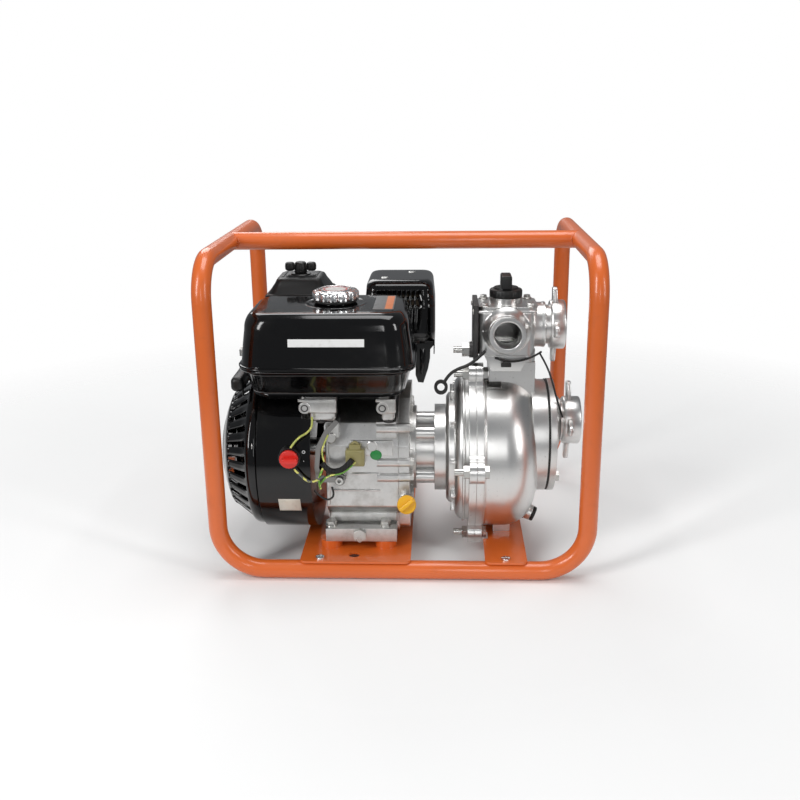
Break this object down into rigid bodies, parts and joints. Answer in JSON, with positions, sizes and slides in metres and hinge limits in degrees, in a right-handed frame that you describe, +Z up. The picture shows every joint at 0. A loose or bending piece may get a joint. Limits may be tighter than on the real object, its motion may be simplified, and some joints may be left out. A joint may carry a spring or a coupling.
{
  "type": "portable fire pump",
  "caption": "Petrol-engine high-pressure water pump with side suction, front and side outlets, a priming cap and swivel ring nuts, carried in an orange tubular frame.",
  "frame": {"origin": "bottom centre of the carrying frame, on the floor", "axes": "+X along the crankshaft from the starter to the pump's suction side, +Y away from the control side, +Z up"},
  "size_m": [0.5238, 0.4172, 0.4458],
  "materials": {
    "frame_paint": "gloss orange paint",
    "engine_alu": "sand cast",
    "pump_alu": "polished casting",
    "black_paint": "gloss black",
    "black_plastic": "moulded",
    "steel": "plated",
    "chrome": "bright",
    "red_plastic": "moulded",
    "yellow_plastic": "moulded",
    "rubber": "soft",
    "foam": "filter foam",
    "brass": "passivated",
    "wire": "insulated wire",
    "cast_iron": "cast",
    "ceramic": "glazed"
  },
  "bodies": {
    "pump_unit": {"frame_front_hoop": "frame_paint", "frame_rear_hoop": "frame_paint", "top_bar": "frame_paint", "engine_plate": "frame_paint", "pump_plate": "frame_paint", "plate_screws": "steel", "engine_bolts": "steel", "pump_bolts": "steel", "oil_drain_bolt": "steel", "tank_brackets": "steel", "crankcase": "engine_alu", "engine_side_cover": "engine_alu", "cylinder_head": "engine_alu", "rocker_cover": "engine_alu", "piston": "engine_alu", "carburettor": "engine_alu", "spark_plug": "ceramic", "spark_plug_lead": "rubber", "ignition_coil": "cast_iron", "blower_housing": "black_paint", "recoil_cover": "black_paint", "control_bracket": "steel", "diffuser": "pump_alu", "air_cleaner_base": "black_plastic", "air_cleaner_cover": "black_plastic", "air_filter": "foam", "muffler": "steel", "muffler_guard": "black_paint", "fuel_tank_upper": "black_paint", "fuel_tank_lower": "black_paint", "switch_body": "black_plastic", "oil_alert_unit": "brass", "wiring": "wire", "pump_adapter": "pump_alu", "pump_back_cover": "pump_alu", "shaft_seal": "ceramic", "volute_casing": "pump_alu", "suction_cover": "pump_alu", "suction_gasket": "rubber", "discharge_chamber": "pump_alu", "discharge_side_plate": "cast_iron", "cap_straps": "rubber"},
    "crank_assembly": {"crankshaft": "cast_iron", "flywheel": "engine_alu", "impeller": "pump_alu"},
    "starter_reel": {"starter_pulley": "black_plastic"},
    "starter_handle": {"starter_grip": "black_plastic"},
    "fuel_cap": {"fuel_cap": "chrome"},
    "air_cleaner_knob": {"air_cleaner_knob": "black_plastic"},
    "oil_cap": {"oil_cap": "yellow_plastic"},
    "switch_knob": {"switch_knob": "red_plastic"},
    "throttle_lever": {"throttle_lever": "steel"},
    "choke_lever": {"choke_lever": "black_plastic"},
    "fuel_valve_lever": {"fuel_valve_lever": "black_plastic"},
    "governor_arm": {"governor_arm": "steel"},
    "check_valve_flap": {"check_valve_flap": "rubber"},
    "priming_cap": {"priming_cap": "black_plastic"},
    "drain_plug": {"drain_plug": "black_plastic"},
    "discharge_ring_nut": {"discharge_ring_nut": "pump_alu"},
    "suction_ring_nut": {"suction_ring_nut": "pump_alu"}
  },
  "joints": [
    {"name": "crank_spin", "type": "hinge", "parent": "pump_unit", "child": "crank_assembly", "pos_m": [0, -0.07, 0.145], "axis": [1, 0, 0], "continuous": true},
    {"name": "starter_pull", "type": "slide", "parent": "pump_unit", "child": "starter_handle", "axis": [0, 0, 1], "range_m": [0, 0.11]},
    {"name": "starter_reel_turn", "type": "hinge", "parent": "pump_unit", "child": "starter_reel", "pos_m": [-0.225, -0.07, 0.145], "axis": [1, 0, 0], "range_deg": [-230, 0]},
    {"name": "fuel_cap_turn", "type": "hinge", "parent": "pump_unit", "child": "fuel_cap", "pos_m": [-0.089, -0.105, 0.37], "axis": [0, 0, 1], "range_deg": [0, 90]},
    {"name": "air_cleaner_knob_turn", "type": "hinge", "parent": "pump_unit", "child": "air_cleaner_knob", "pos_m": [-0.156, 0.04, 0.385], "axis": [0, 0, 1], "range_deg": [0, 360]},
    {"name": "oil_cap_turn", "type": "hinge", "parent": "pump_unit", "child": "oil_cap", "pos_m": [0.0065, -0.15, 0.093], "axis": [0, -0.9701, 0.2425], "range_deg": [0, 360]},
    {"name": "engine_switch_turn", "type": "hinge", "parent": "pump_unit", "child": "switch_knob", "pos_m": [-0.149, -0.19, 0.171], "axis": [0, -1, 0], "range_deg": [-60, 0]},
    {"name": "throttle_turn", "type": "hinge", "parent": "pump_unit", "child": "throttle_lever", "pos_m": [-0.172, 0.008, 0.264], "axis": [0, 0, 1], "range_deg": [-18, 18]},
    {"name": "choke_turn", "type": "hinge", "parent": "pump_unit", "child": "choke_lever", "pos_m": [-0.158, 0.088, 0.232], "axis": [0, 1, 0], "range_deg": [0, 55]},
    {"name": "fuel_valve_turn", "type": "hinge", "parent": "pump_unit", "child": "fuel_valve_lever", "pos_m": [-0.152, 0.088, 0.206], "axis": [0, 1, 0], "range_deg": [-60, 0]},
    {"name": "governor_turn", "type": "hinge", "parent": "pump_unit", "child": "governor_arm", "pos_m": [-0.0845, -0.165, 0.1326], "axis": [0, 1, 0], "range_deg": [0, 7]},
    {"name": "check_valve_swing", "type": "hinge", "parent": "pump_unit", "child": "check_valve_flap", "pos_m": [0.1975, -0.07, 0.222], "axis": [0, 1, 0], "range_deg": [0, 36]},
    {"name": "priming_cap_turn", "type": "hinge", "parent": "pump_unit", "child": "priming_cap", "pos_m": [0.142, -0.07, 0.37], "axis": [0, 0, 1], "range_deg": [0, 360]},
    {"name": "drain_plug_turn", "type": "hinge", "parent": "pump_unit", "child": "drain_plug", "pos_m": [0.1765, -0.10446, 0.0597], "axis": [0.9165, -0.1498, -0.3709], "range_deg": [0, 360]},
    {"name": "discharge_nut_turn", "type": "hinge", "parent": "pump_unit", "child": "discharge_ring_nut", "pos_m": [0.212, -0.07, 0.326], "axis": [1, 0, 0], "continuous": true},
    {"name": "suction_nut_turn", "type": "hinge", "parent": "pump_unit", "child": "suction_ring_nut", "pos_m": [0.236, -0.07, 0.1864], "axis": [1, 0, 0], "continuous": true}
  ],
  "couplings": [
    {"joint": "starter_reel_turn", "follows": "starter_pull", "rad_per_m": -35.714}
  ]
}
